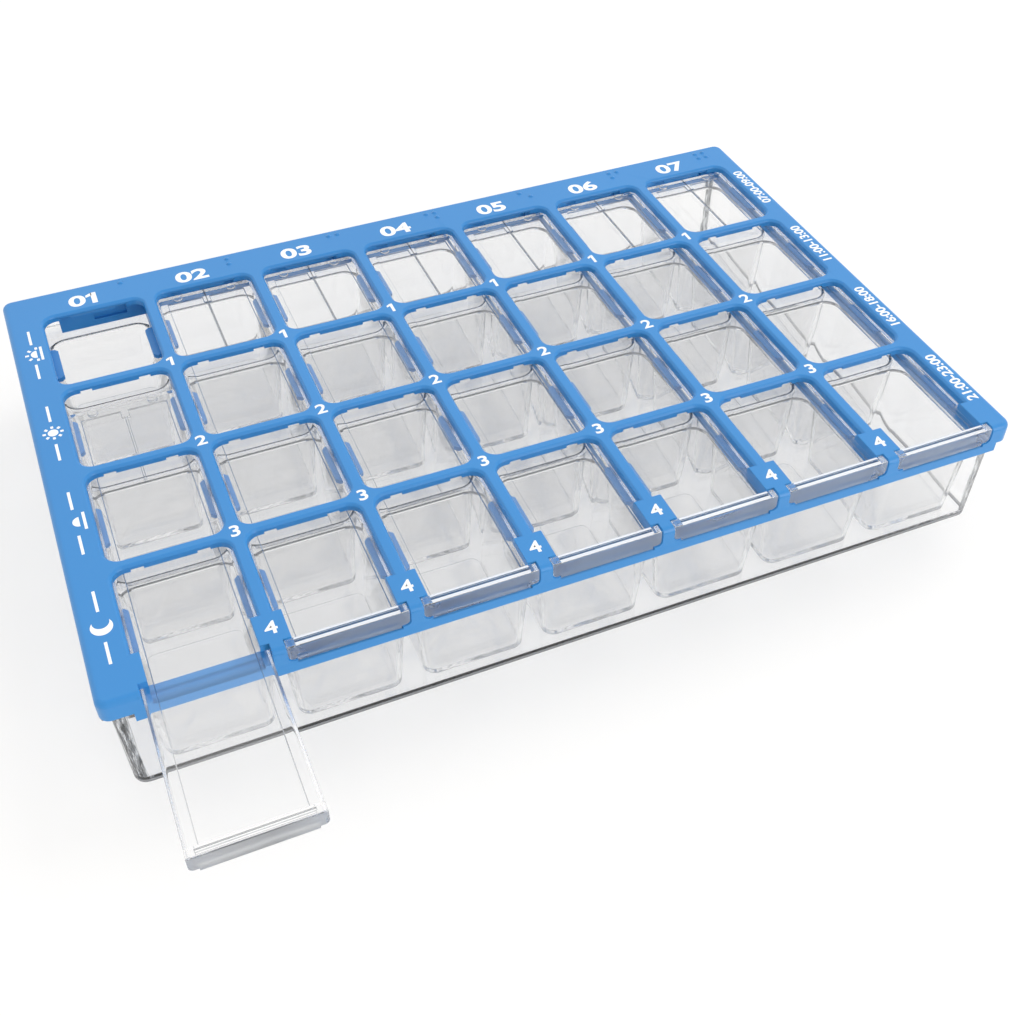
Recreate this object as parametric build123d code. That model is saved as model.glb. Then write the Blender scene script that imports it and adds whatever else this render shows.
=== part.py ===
"""Weekly pill organizer: a clear tray that holds seven day strips of four tubs, a blue frame on
top with a window over each tub, and seven clear lids that slide in the frame towards the front.

Millimetres, +Z up. The origin is on the table, under the middle of the frame's outline. -Y is the
front, where the lids come out, and the first day is at -X.
"""
import os

from build123d import *

# Counts and names
DAYS = ("sunday", "monday", "tuesday", "wednesday", "thursday", "friday", "saturday")
TIMES = 4
# Raised dots that number the days for the fingertips: 1 to 3 down the left, 4 to 6 down the right
DAY_DOTS = ((1,), (1, 2), (1, 4), (1, 4, 5), (1, 5), (1, 2, 4), (1, 2, 4, 5))
DOTS_DOWN = 3

# Tubs, which set the grid
TUB_W = 27.2
TUB_LENGTH = 31.8
TUB_WALL = 1.1
TUB_DRAFT = 1.9
TUB_CORNER_R = 4.0
TUB_SIDE_GAP = 1.6
TUB_END_GAP = 0.2
STRIP_SEAM = 0.2
DECK_GAP = 0.3

# Heights, from the table up
TRAY_FLOOR = 1.2
TUB_FLOOR = 1.2
TUB_DEPTH = 22.0
DECK_T = 1.2
GUIDE_HEIGHT = 4.0
LID_T = 2.4
LID_PLAY = 0.1
PLATE_T = 2.0

# Frame: plate, windows and bars
BAR_W = 3.4
CROSSBAR_W = 2.9
WINDOW_R = 3.4
WINDOW_BEVEL = 0.6
LABEL_MARGIN = 3.4
BACK_BORDER = 10.75
FRAME_CORNER_R = 2.6
TOP_EDGE_R = 1.5
DOT_R = 0.75
DOT_H = 0.45
DOT_PITCH = 2.7
DOT_SHIFT = 9.5
DOT_SETBACK = 3.3

# Frame: skirt and inner walls
SKIRT_WALL = 1.6
SKIRT_GAP = 0.2
SKIRT_SIDE_DROP = 5.4
SKIRT_FRONT_DROP = 8.0
WEB_T = 3.0
SIDE_WALL = 2.0
SIDE_GAP = 0.5
STEP_GAP = 0.3
REAR_WALL_T = 1.7
REAR_WALL_SETBACK = 3.6
REAR_WALL_START = 4.2
CATCH_W = 9.2
CATCH_SHIFT = 4.6
CATCH_H = 4.6
CATCH_DEPTH = 0.9

# Frame: lid guides
LEDGE_LENGTH = 13.2
LEDGE_REACH = 2.05
LEDGE_T = 1.2
LEDGE_CHAMFER = 0.9
FLANGE_REACH = 2.0
FLANGE_LENGTH = 9.0
NOTCH_PLAY = 0.25
SILL_T = 1.4
SILL_PLAY = 0.2
FRONT_STRIP_T = 1.6
FRONT_STRIP_PLAY = 0.15

# Lids
LID_SIDE_PLAY = 0.2
LID_EDGE_R = 1.2
LID_REAR_GAP = 0.4
RAIL_W = 2.9
PANEL_DEPTH = 0.3
REAR_RIM = 3.6
BOSS_R = 1.25
BOSS_H = 0.5
BOSS_SPAN = 15.3
BOSS_INSET = 1.9
LATCH_W = 2.0
LATCH_LENGTH = 2.6
CENTRE_RIB_W = 0.5
LIP_T = 2.6
LIP_DROP = 0.7
LIP_TAB = 2.0
LIP_SETBACK = 0.3
LIP_STOP_PLAY = 0.1
LIP_TOP_PLAY = 0.1
LIP_EDGE_R = 0.5
LIP_GROOVE_W = 0.7
LIP_GROOVE_DEPTH = 0.4
FIRST_LID_PULLED = 41.4

# Tray
TRAY_WALL = 1.6
TRAY_CORNER_R = 3.4
TRAY_DRAFT = 0.5
TRAY_TOP_GAP = 1.0
LUG_LENGTH = 3.2
LUG_REACH = 1.8
LUG_T = 1.6
LUG_DROP = 1.4

# One overrun serves every cut
OVERRUN = 1.0

# Levels worked out from the heights
DECK_TOP = TRAY_FLOOR + TUB_FLOOR + TUB_DEPTH
LEDGE_TOP = DECK_TOP + GUIDE_HEIGHT
LID_BOTTOM = LEDGE_TOP + LID_PLAY
LID_TOP = LID_BOTTOM + LID_T
PLATE_BOTTOM = LID_TOP + LID_PLAY
FRAME_TOP = PLATE_BOTTOM + PLATE_T
LIP_BOTTOM = LID_BOTTOM - LIP_DROP
SILL_TOP = LIP_BOTTOM - SILL_PLAY
SILL_BOTTOM = SILL_TOP - SILL_T
SLOT_BOTTOM = LID_BOTTOM - FRONT_STRIP_PLAY
SKIRT_SIDE_BOTTOM = FRAME_TOP - SKIRT_SIDE_DROP
SKIRT_FRONT_BOTTOM = FRAME_TOP - SKIRT_FRONT_DROP
TRAY_TOP = PLATE_BOTTOM - TRAY_TOP_GAP
TRAY_FRONT_TOP = SILL_BOTTOM - STEP_GAP

# Grid of compartments: neighbouring tubs stand a gap apart
DAY_PITCH = TUB_W + 2 * TUB_WALL + TUB_SIDE_GAP
ROW_PITCH = TUB_LENGTH + 2 * TUB_WALL + TUB_END_GAP
GRID_W = DAY_PITCH * len(DAYS)
GRID_DEPTH = ROW_PITCH * TIMES

# Plan of the frame, worked out from the grid and the walls beside it
WALL_STACK = SIDE_WALL + SIDE_GAP + TRAY_WALL + SKIRT_GAP + SKIRT_WALL
FRAME_W = GRID_W - WEB_T + 2 * WALL_STACK + LABEL_MARGIN
RECESS_DEPTH = LIP_SETBACK + LIP_T + LIP_STOP_PLAY
FRONT_BORDER = RECESS_DEPTH + CROSSBAR_W / 2 - SKIRT_GAP
FRAME_D = FRONT_BORDER + GRID_DEPTH + BACK_BORDER
FRAME_FRONT = -FRAME_D / 2
FRAME_RIGHT = FRAME_W / 2
GRID_RIGHT = FRAME_RIGHT - WALL_STACK + WEB_T / 2
GRID_LEFT = GRID_RIGHT - GRID_W
GRID_FRONT = FRAME_FRONT + FRONT_BORDER
GRID_BACK = GRID_FRONT + GRID_DEPTH

# Slots, windows and lids
SLOT_W = DAY_PITCH - WEB_T
LID_W = SLOT_W - 2 * LID_SIDE_PLAY
WINDOW_W = DAY_PITCH - BAR_W
WINDOW_LENGTH = ROW_PITCH - CROSSBAR_W
WINDOW_BACK = GRID_BACK - CROSSBAR_W / 2
NOTCH_W = 2 * (BOSS_R + NOTCH_PLAY)
NOTCH_DEPTH = BOSS_H - LID_PLAY + NOTCH_PLAY
FLANGE_GAP = SLOT_W - 2 * FLANGE_REACH
RECESS_BACK = FRAME_FRONT + RECESS_DEPTH
FLANGE_BACK = RECESS_BACK + FLANGE_LENGTH
FRONT_STRIP_BACK = RECESS_BACK + FRONT_STRIP_T
LIP_W = LID_W - 2 * LIP_TAB
LIP_FRONT = FRAME_FRONT + LIP_SETBACK
LIP_BACK = LIP_FRONT + LIP_T
LID_REAR = WINDOW_BACK - LID_REAR_GAP
REAR_WALL_FRONT = WINDOW_BACK + REAR_WALL_SETBACK
SIDE_LEFT = GRID_LEFT + WEB_T / 2 - SIDE_WALL
SIDE_RIGHT = GRID_RIGHT - WEB_T / 2 + SIDE_WALL

# Tray outline
TRAY_W = FRAME_W - 2 * (SKIRT_WALL + SKIRT_GAP)
TRAY_D = FRAME_D - 2 * (SKIRT_WALL + SKIRT_GAP)
TRAY_INNER_W = TRAY_W - 2 * TRAY_WALL
TRAY_INNER_D = TRAY_D - 2 * TRAY_WALL
TRAY_INNER_R = TRAY_CORNER_R - TRAY_WALL


def block(x0, x1, y0, y1, z0, z1):
    """Box between two corners."""
    centre = Pos((x0 + x1) / 2, (y0 + y1) / 2, (z0 + z1) / 2)
    return centre * Box(x1 - x0, y1 - y0, z1 - z0)


def day_x(day):
    """Middle of a day's column."""
    return GRID_LEFT + DAY_PITCH * (day + 1 / 2)


def row_y(row):
    """Middle of a time's row, the first at the back."""
    return GRID_BACK - ROW_PITCH * (row + 1 / 2)


def web_x(line):
    """Middle of the web on the left of a column."""
    return GRID_LEFT + DAY_PITCH * line


def tapered(bottom, top, z0, z1):
    """Straight-sided solid between two flat outlines."""
    return loft([Pos(0, 0, z0) * bottom, Pos(0, 0, z1) * top], ruled=True)


def frame_shell():
    """Plate and skirt, with rounded top edges and the longer skirt along the front."""
    plan = RectangleRounded(FRAME_W, FRAME_D, FRAME_CORNER_R)
    shell = extrude(Pos(0, 0, SKIRT_SIDE_BOTTOM) * plan, SKIRT_SIDE_DROP)
    shell = fillet(shell.faces().sort_by(Axis.Z)[-1].edges(), TOP_EDGE_R)
    inner_r = FRAME_CORNER_R - SKIRT_WALL
    inner = RectangleRounded(FRAME_W - 2 * SKIRT_WALL, FRAME_D - 2 * SKIRT_WALL, inner_r)
    below = SKIRT_SIDE_BOTTOM - OVERRUN
    shell -= extrude(Pos(0, 0, below) * inner, PLATE_BOTTOM - below)
    apron = block(SIDE_LEFT - STEP_GAP, SIDE_RIGHT + STEP_GAP, FRAME_FRONT, FRAME_FRONT + SKIRT_WALL,
                  SKIRT_FRONT_BOTTOM, PLATE_BOTTOM)
    return shell + apron


def window(row):
    """Outline of one window, the front row square at its front end."""
    outline = RectangleRounded(WINDOW_W, WINDOW_LENGTH, WINDOW_R)
    if row < TIMES - 1:
        return outline
    back = GRID_FRONT + ROW_PITCH - CROSSBAR_W / 2 - row_y(row)
    front = FLANGE_BACK - row_y(row)
    square = Pos(0, front / 2) * Rectangle(WINDOW_W, -front)
    kept = Pos(0, (back + front) / 2) * Rectangle(WINDOW_W, back - front)
    return (outline & kept) + square


def cut_windows(shell):
    """Cut the grid of windows and bevel their top edges."""
    below = Pos(0, 0, PLATE_BOTTOM - OVERRUN)
    for row in range(TIMES):
        hole = extrude(below * window(row), PLATE_T + 2 * OVERRUN)
        shell -= [Pos(day_x(day), row_y(row)) * hole for day in range(len(DAYS))]
    top = shell.faces().sort_by(Axis.Z)[-1]
    rims = [edge for wire in top.inner_wires() for edge in wire.edges()]
    return chamfer(rims, WINDOW_BEVEL)


def web(x, thickness):
    """One upright web from its left face: up to the front bar above, and standing on the deck
    below it, where its foot keeps clear of the tray's rounded corners."""
    back = REAR_WALL_FRONT + REAR_WALL_T
    foot = -TRAY_INNER_D / 2 + TRAY_INNER_R
    outline = Polyline((FRONT_STRIP_BACK, PLATE_BOTTOM), (FRONT_STRIP_BACK, SILL_BOTTOM),
                       (foot, SILL_BOTTOM), (foot, DECK_TOP), (back, DECK_TOP),
                       (back, PLATE_BOTTOM), close=True)
    face = Plane(origin=(x, 0, 0), x_dir=(0, 1, 0), z_dir=(1, 0, 0))
    return extrude(face * make_face(outline), thickness)


def webs():
    """Webs between the columns, and the thinner walls beside the outer columns."""
    inner = [web(web_x(line) - WEB_T / 2, WEB_T) for line in range(1, len(DAYS))]
    return inner + [web(SIDE_LEFT, SIDE_WALL), web(SIDE_RIGHT - SIDE_WALL, SIDE_WALL)]


def rear_wall():
    """Wall behind the last windows, with a catch pocket to the right of each column's middle."""
    start = web_x(0) + BAR_W / 2 + REAR_WALL_START
    back = REAR_WALL_FRONT + REAR_WALL_T
    wall = block(start, SIDE_RIGHT, REAR_WALL_FRONT, back, DECK_TOP, PLATE_BOTTOM)
    for day in range(len(DAYS)):
        middle = day_x(day) + CATCH_SHIFT
        wall -= block(middle - CATCH_W / 2, middle + CATCH_W / 2, REAR_WALL_FRONT - OVERRUN,
                      REAR_WALL_FRONT + CATCH_DEPTH, PLATE_BOTTOM - CATCH_H, PLATE_BOTTOM + OVERRUN)
    return wall


def ledge(side):
    """One ledge that a lid rides on, seen from its web's face, with cut corners."""
    reach = side * LEDGE_REACH
    cut = LEDGE_LENGTH / 2 - LEDGE_CHAMFER
    corner = side * (LEDGE_REACH - LEDGE_CHAMFER)
    outline = Polyline((0, -LEDGE_LENGTH / 2), (corner, -LEDGE_LENGTH / 2), (reach, -cut), (reach, cut),
                       (corner, LEDGE_LENGTH / 2), (0, LEDGE_LENGTH / 2), close=True)
    return extrude(Pos(0, 0, LEDGE_TOP - LEDGE_T) * make_face(outline), LEDGE_T, dir=(0, 0, 1))


def ledges():
    """A ledge on each side of every window, at the middle of its length."""
    left, right = ledge(1), ledge(-1)
    spots = [(day_x(day), row_y(row)) for day in range(len(DAYS)) for row in range(TIMES)]
    return ([Pos(x - SLOT_W / 2, y) * left for x, y in spots]
            + [Pos(x + SLOT_W / 2, y) * right for x, y in spots])


def front_bar():
    """Bar along the front, before the slots are cut in it: fingers, sill and strip in one."""
    return block(SIDE_LEFT, SIDE_RIGHT, FRAME_FRONT + SKIRT_WALL, FRONT_STRIP_BACK,
                 SILL_BOTTOM, PLATE_BOTTOM)


def slot_profile():
    """Section of the way a lid slides out through the front, rounded as the lid's lower edges are."""
    height = PLATE_BOTTOM - SLOT_BOTTOM
    section = Pos(0, height / 2) * Rectangle(SLOT_W, height)
    return fillet(section.vertices().group_by(Axis.Y)[0], LID_EDGE_R)


def slot_cuts(day):
    """Everything that opens the frame's front for one lid."""
    x = day_x(day)
    front = FRAME_FRONT - OVERRUN
    below, above = PLATE_BOTTOM - OVERRUN, FRAME_TOP + OVERRUN
    lip_half = LIP_W / 2 + LID_SIDE_PLAY
    face = Plane(origin=(x, front, SLOT_BOTTOM), x_dir=(1, 0, 0), z_dir=(0, -1, 0))
    slot = extrude(face * slot_profile(), -(FRONT_STRIP_BACK + OVERRUN - front))
    recess = block(x - SLOT_W / 2, x + SLOT_W / 2, front, RECESS_BACK, below, above)
    low = block(x - lip_half, x + lip_half, front, RECESS_BACK, SILL_TOP, PLATE_BOTTOM)
    gap = block(x - FLANGE_GAP / 2, x + FLANGE_GAP / 2, front, FLANGE_BACK + OVERRUN, below, above)
    return [slot, recess, low, gap]


def boss_notches():
    """Shallow notches under the bars, where the bosses at a lid's rear end pass."""
    lines = [GRID_BACK - ROW_PITCH * row for row in range(TIMES)]
    notch = Box(NOTCH_W, CROSSBAR_W + 2 * OVERRUN, 2 * NOTCH_DEPTH)
    return [Pos(day_x(day) + side * BOSS_SPAN / 2, y, PLATE_BOTTOM) * notch
            for day in range(len(DAYS)) for side in (-1, 1) for y in lines]


def day_dots():
    """Raised dots behind each column, as caps of balls that are sunk in the plate."""
    ball_r = (DOT_R ** 2 + DOT_H ** 2) / (2 * DOT_H)
    back = FRAME_D / 2 - DOT_SETBACK
    dots = []
    for day, numbers in enumerate(DAY_DOTS):
        for number in numbers:
            across, down = divmod(number - 1, DOTS_DOWN)
            x = day_x(day) + DOT_SHIFT + DOT_PITCH * across
            dots.append(Pos(x, back - DOT_PITCH * down, FRAME_TOP + DOT_H - ball_r) * Sphere(ball_r))
    return dots


def top_frame():
    """The blue moulding: plate with windows, skirt, webs, lid guides, day dots and slotted front."""
    shell = cut_windows(frame_shell())
    frame = shell + webs() + [rear_wall(), front_bar()] + ledges() + day_dots()
    for day in range(len(DAYS)):
        frame -= slot_cuts(day)
    return frame - boss_notches()


def lid_section():
    """Section of the lid's plate, rounded along its lower edges."""
    section = Pos(0, LID_T / 2) * Rectangle(LID_W, LID_T)
    return fillet(section.vertices().group_by(Axis.Y)[0], LID_EDGE_R)


def lid_lip():
    """Grip across the lid's front end: full width above, a little lower between its two ends."""
    height = FRAME_TOP - LIP_TOP_PLAY - LID_BOTTOM
    section = Pos(0, height / 2) * Rectangle(LID_W, height)
    section = fillet(section.vertices().group_by(Axis.Y)[0], LID_EDGE_R)
    section += Pos(0, (LID_T - LIP_DROP) / 2) * Rectangle(LIP_W, LID_T + LIP_DROP)
    face = Plane(origin=(0, LIP_BACK, LID_BOTTOM), x_dir=(1, 0, 0), z_dir=(0, -1, 0))
    lip = extrude(face * section, LIP_T)
    lip = fillet(lip.faces().sort_by(Axis.Z)[-1].edges(), LIP_EDGE_R)
    middle = (LIP_FRONT + LIP_BACK) / 2
    top = FRAME_TOP - LIP_TOP_PLAY
    return lip - block(-LIP_W / 2, LIP_W / 2, middle - LIP_GROOVE_W / 2, middle + LIP_GROOVE_W / 2,
                       top - LIP_GROOVE_DEPTH, top + OVERRUN)


def lid():
    """One sliding lid, shut: side rails round a thinner panel, rear bosses, latch and centre rib."""
    face = Plane(origin=(0, LIP_BACK, LID_BOTTOM), x_dir=(1, 0, 0), z_dir=(0, -1, 0))
    body = extrude(face * lid_section(), -(LID_REAR - LIP_BACK))
    panel_back = LID_REAR - REAR_RIM
    panel = block(-LID_W / 2 + RAIL_W, LID_W / 2 - RAIL_W, LIP_BACK, panel_back,
                  LID_TOP - PANEL_DEPTH, LID_TOP + OVERRUN)
    rib = block(-CENTRE_RIB_W / 2, CENTRE_RIB_W / 2, panel_back - WINDOW_LENGTH + REAR_RIM, panel_back,
                LID_BOTTOM, LID_TOP)
    latch = block(-LATCH_W / 2, LATCH_W / 2, panel_back - LATCH_LENGTH, panel_back, LID_BOTTOM, LID_TOP)
    boss = Cylinder(BOSS_R, LID_T + BOSS_H, align=(Align.CENTER, Align.CENTER, Align.MIN))
    bosses = [Pos(side * BOSS_SPAN / 2, LID_REAR - BOSS_INSET, LID_BOTTOM) * boss for side in (-1, 1)]
    return body - panel + [rib, latch, lid_lip()] + bosses


def tub_hollow():
    """Inside of one tub, from its floor past the deck's top."""
    rim = RectangleRounded(TUB_W, TUB_LENGTH, TUB_CORNER_R)
    low_r = TUB_CORNER_R - TUB_DRAFT
    floor = RectangleRounded(TUB_W - 2 * TUB_DRAFT, TUB_LENGTH - 2 * TUB_DRAFT, low_r)
    return tapered(floor, rim, TRAY_FLOOR + TUB_FLOOR, DECK_TOP)


def tub_outside():
    """Outside of one tub, from the tray's floor up to the deck's underside."""
    grow = 2 * TUB_WALL
    rim = RectangleRounded(TUB_W + grow, TUB_LENGTH + grow, TUB_CORNER_R + TUB_WALL)
    low_w = TUB_W - 2 * TUB_DRAFT + grow
    low_length = TUB_LENGTH - 2 * TUB_DRAFT + grow
    floor = RectangleRounded(low_w, low_length, TUB_CORNER_R - TUB_DRAFT + TUB_WALL)
    return tapered(floor, rim, TRAY_FLOOR, DECK_TOP)


def day_strip(day):
    """Four tubs hung from one deck, with wider decks on the first and the last day."""
    deck_w, deck_d = TRAY_INNER_W - 2 * DECK_GAP, TRAY_INNER_D - 2 * DECK_GAP
    inner = RectangleRounded(deck_w, deck_d, TRAY_INNER_R)
    left = web_x(day) + STRIP_SEAM / 2 if day > 0 else -TRAY_INNER_W / 2
    right = web_x(day + 1) - STRIP_SEAM / 2 if day < len(DAYS) - 1 else TRAY_INNER_W / 2
    span = Pos((left + right) / 2) * Rectangle(right - left, TRAY_INNER_D)
    deck = extrude(Pos(0, 0, DECK_TOP - DECK_T) * (inner & span), DECK_T)
    outside, hollow = tub_outside(), tub_hollow()
    places = [Pos(day_x(day), row_y(row)) for row in range(TIMES)]
    return deck + [place * outside for place in places] - [place * hollow for place in places]


def base_tray():
    """Clear outer tray: floor and drafted walls, lower along the front under the frame's sill."""
    low = RectangleRounded(TRAY_W - 2 * TRAY_DRAFT, TRAY_D - 2 * TRAY_DRAFT, TRAY_CORNER_R)
    high = RectangleRounded(TRAY_W, TRAY_D, TRAY_CORNER_R)
    floor_w, floor_d = TRAY_INNER_W - 2 * TRAY_DRAFT, TRAY_INNER_D - 2 * TRAY_DRAFT
    low_in = RectangleRounded(floor_w, floor_d, TRAY_INNER_R)
    high_in = RectangleRounded(TRAY_INNER_W, TRAY_INNER_D, TRAY_INNER_R)
    tray = tapered(low, high, 0, TRAY_TOP) - tapered(low_in, high_in, TRAY_FLOOR, TRAY_TOP)
    front = -TRAY_D / 2
    tray -= block(SIDE_LEFT - STEP_GAP, SIDE_RIGHT + STEP_GAP, front - OVERRUN, front + TRAY_CORNER_R,
                  TRAY_FRONT_TOP, TRAY_TOP + OVERRUN)
    lug_top = SKIRT_FRONT_BOTTOM - LUG_DROP
    lug_front = front + TRAY_CORNER_R
    lug = block(-TRAY_W / 2 - LUG_REACH, -TRAY_W / 2 + TRAY_WALL / 2, lug_front, lug_front + LUG_LENGTH,
                lug_top - LUG_T, lug_top)
    return tray + lug


def write(shape, name):
    """Write one node's solid."""
    export_step(shape, f"parts/{name}.step")


def main():
    """Build every piece and write its file."""
    os.makedirs("parts", exist_ok=True)
    write(base_tray(), "base_tray")
    write(top_frame(), "top_frame")
    shut = lid()
    for day, name in enumerate(DAYS):
        write(day_strip(day), f"tub_strip_{name}")
        pulled = FIRST_LID_PULLED if day == 0 else 0
        write(Pos(day_x(day), -pulled) * shut, f"lid_{name}")
    print(f"frame {FRAME_W:.1f} x {FRAME_D:.1f} x {FRAME_TOP:.1f} mm, lid {LID_W:.1f} mm wide")


main()
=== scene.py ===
"""Weekly pill organizer: the finishes, print, lights and camera that dress its CAD solids.

Metres, in the CAD frame: +Z up, -Y is the front, where the lids come out, and the first day is at
-X. Sizes are written in millimetres and turned to metres where a mesh is made.
"""

import logging
import math
from dataclasses import dataclass
from enum import Enum, IntEnum
from typing import Any

import bmesh
import bpy
from bmesh.types import BMesh
from bpy.types import ID, Material, Mesh, Node, NodeSocket, NodeTree, Object
from mathutils import Matrix, Quaternion, Vector


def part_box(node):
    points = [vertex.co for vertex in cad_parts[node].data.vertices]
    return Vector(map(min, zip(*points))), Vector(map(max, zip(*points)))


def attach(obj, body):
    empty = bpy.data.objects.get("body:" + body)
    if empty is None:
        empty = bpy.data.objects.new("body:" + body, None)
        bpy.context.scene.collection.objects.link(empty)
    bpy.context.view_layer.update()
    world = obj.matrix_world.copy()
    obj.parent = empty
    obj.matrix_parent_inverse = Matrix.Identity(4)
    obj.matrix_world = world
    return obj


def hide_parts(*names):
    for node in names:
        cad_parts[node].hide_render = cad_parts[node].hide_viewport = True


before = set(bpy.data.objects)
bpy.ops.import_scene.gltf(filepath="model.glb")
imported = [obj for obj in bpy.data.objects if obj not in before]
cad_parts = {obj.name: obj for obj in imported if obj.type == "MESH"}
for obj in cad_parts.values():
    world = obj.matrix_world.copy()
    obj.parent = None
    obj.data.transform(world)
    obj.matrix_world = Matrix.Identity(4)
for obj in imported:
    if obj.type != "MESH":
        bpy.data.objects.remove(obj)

# Points of a section or a plan, in millimetres
Points = list[tuple[float, float]]

LOG = logging.getLogger("pill_organizer")

MM = 0.001
CASE = "case"
WHITE = "#FFFFFF"
# A bend sharper than this between two faces is an edge of the moulding
CREASE = math.radians(30)
# Facets across a rounded edge
EDGE_STEPS = 2
# Faces of a copied solid that bend less than this are one face
FLAT = math.radians(0.2)
# Points of a copied solid that are closer than this are one point
SAME_POINT_MM = 0.002
# Play that a height has when it is compared
LEVEL_MM = 0.01
# Signs of X and Y in the four quarters of a plan, counterclockwise
QUARTERS = ((1, 1), (-1, 1), (-1, -1), (1, -1))
# The font's 1 is a bare stem, so it gets a short stroke that tells it from a rule: the stem's width
# and the stroke's corners to the left of and below its top, as shares of the figure's height
STEM_W = 0.17
ONE_STROKE = ((0.0, 0.0), (0.0, 0.26), (0.24, 0.37), (0.24, 0.17))


class Day(Enum):
    """Columns of the organizer, from the left."""

    SUNDAY = "sunday"
    MONDAY = "monday"
    TUESDAY = "tuesday"
    WEDNESDAY = "wednesday"
    THURSDAY = "thursday"
    FRIDAY = "friday"
    SATURDAY = "saturday"

    @property
    def lid_node(self) -> str:
        """CAD node of this day's lid."""
        return f"lid_{self.value}"

    @property
    def strip_node(self) -> str:
        """CAD node of this day's tubs."""
        return f"tub_strip_{self.value}"

    @property
    def lid_body(self) -> str:
        """Body that slides with this day's lid."""
        return f"{self.value}_lid"


class Plastic(Enum):
    """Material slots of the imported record."""

    BLUE = "blue_plastic"
    CLEAR = "clear_plastic"


class Sign(Enum):
    """Signs in the left margin, one for each row."""

    RISING_SUN = 0
    HIGH_SUN = 1
    SETTING_SUN = 2
    MOON = 3


class LidLook(IntEnum):
    """Numbers of a lid's materials: the clear plastic, painted grey shade on rounded edges, painted
    highlights, painted dark lines, and the matt grip with its painted colour.
    """

    CLEAR = 0
    EDGE = 1
    RIDGE = 2
    GROOVE = 3
    GRIP = 4


class TrayLook(IntEnum):
    """Numbers of the tray's materials: the clear plastic, a painted dark line, a painted grey band
    and painted streaks on the corners.
    """

    CLEAR = 0
    EDGE = 1
    BAND = 2
    CORNER = 3


class TubLook(IntEnum):
    """Numbers of a tub's materials: the clear plastic, a painted dark line on a rim's front and a
    painted grey line on its back and round its foot.
    """

    CLEAR = 0
    RIM = 1
    EDGE = 2


def linear(code: str) -> tuple[float, float, float, float]:
    """Turn an sRGB hex colour to linear light.

    Args:
        code: colour as "#RRGGBB".

    Returns:
        Red, green, blue and alpha for a colour socket.
    """
    parts = [int(code[start:start + 2], 16) / 255 for start in (1, 3, 5)]
    red, green, blue = (part / 12.92 if part <= 0.04045 else ((part + 0.055) / 1.055) ** 2.4
                        for part in parts)
    return red, green, blue, 1.0


def add(tree: NodeTree, kind: str, links: dict[str | int, Any] | None = None,
        **settings: Any) -> Node:
    """Add one node with its settings, links and socket values.

    Args:
        tree: node tree that gets the node.
        kind: Blender's name for the node's type.
        links: for each input, the output socket that feeds it or the value that it holds.
        **settings: the node's own properties.

    Returns:
        The new node.
    """
    node = tree.nodes.new(kind)
    for name, value in settings.items():
        setattr(node, name, value)
    for socket, source in (links or {}).items():
        if isinstance(source, NodeSocket):
            tree.links.new(source, node.inputs[socket])
        else:
            node.inputs[socket].default_value = source
    return node


def seen_share(tree: NodeTree) -> NodeSocket:
    """Tell what the camera sees, also in gloss and through clear plastic, from what only gives light.

    Args:
        tree: node tree of the floor's material or of the world.

    Returns:
        Socket that is 1 for what is seen and 0 for the rest.
    """
    rays = add(tree, "ShaderNodeLightPath").outputs
    seen = rays["Is Camera Ray"]
    for kind in ("Is Glossy Ray", "Is Transmission Ray"):
        seen = add(tree, "ShaderNodeMath", {0: seen, 1: rays[kind]}, operation="MAXIMUM").outputs[0]
    return seen


@dataclass(frozen=True)
class Finish:
    """A real material, named for what it is."""

    name: str

    def surface(self, tree: NodeTree, spot: NodeSocket) -> NodeSocket:
        """Add the nodes that give the eye what the material does.

        Args:
            tree: the material's node tree.
            spot: place on the piece, in metres.

        Returns:
            Shader of the surface.
        """
        raise NotImplementedError

    def build(self) -> Material:
        """Make the material.

        Returns:
            The material with its nodes.
        """
        material = bpy.data.materials.new(self.name)
        material.use_nodes = True
        tree = material.node_tree
        tree.nodes.clear()
        spot = add(tree, "ShaderNodeTexCoord").outputs["Object"]
        add(tree, "ShaderNodeOutputMaterial", {"Surface": self.surface(tree, spot)})
        return material


@dataclass(frozen=True)
class MouldedAbs(Finish):
    """Injection-moulded blue ABS: an even body colour under a soft satin gloss, with a fine spark
    grain from the mould that breaks up the highlights and slightly cloudy colour over a hand's
    width."""

    name: str = "moulded_blue_abs"
    colour: str = "#3089CE"
    cloud: str = "#2C82C5"
    roughness: float = 0.34
    gloss_play: float = 0.05
    ior: float = 1.54
    cloud_mm: float = 45.0
    # Spark grain is about 0.1 mm on the real moulding, drawn coarser so that it shows
    grain_mm: float = 0.45
    grain_height_mm: float = 0.006

    def surface(self, tree: NodeTree, spot: NodeSocket) -> NodeSocket:
        """Add the surface's nodes, as for any finish."""
        cloud = add(tree, "ShaderNodeTexNoise",
                    {"Vector": spot, "Scale": 1 / (self.cloud_mm * MM), "Detail": 2.0})
        tone = add(tree, "ShaderNodeMix",
                   {"Factor": cloud.outputs["Fac"], "A": linear(self.colour), "B": linear(self.cloud)},
                   data_type="RGBA")
        grain = add(tree, "ShaderNodeTexNoise",
                    {"Vector": spot, "Scale": 1 / (self.grain_mm * MM), "Detail": 3.0})
        gloss = add(tree, "ShaderNodeMapRange",
                    {"Value": grain.outputs["Fac"], "From Min": 0.3, "From Max": 0.7,
                     "To Min": self.roughness - self.gloss_play,
                     "To Max": self.roughness + self.gloss_play})
        bump = add(tree, "ShaderNodeBump",
                   {"Height": grain.outputs["Fac"], "Strength": 0.5,
                    "Distance": self.grain_height_mm * MM})
        surface = add(tree, "ShaderNodeBsdfPrincipled",
                      {"Base Color": tone.outputs["Result"], "Roughness": gloss.outputs["Result"],
                       "IOR": self.ior, "Normal": bump.outputs["Normal"]})
        return surface.outputs["BSDF"]


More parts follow.
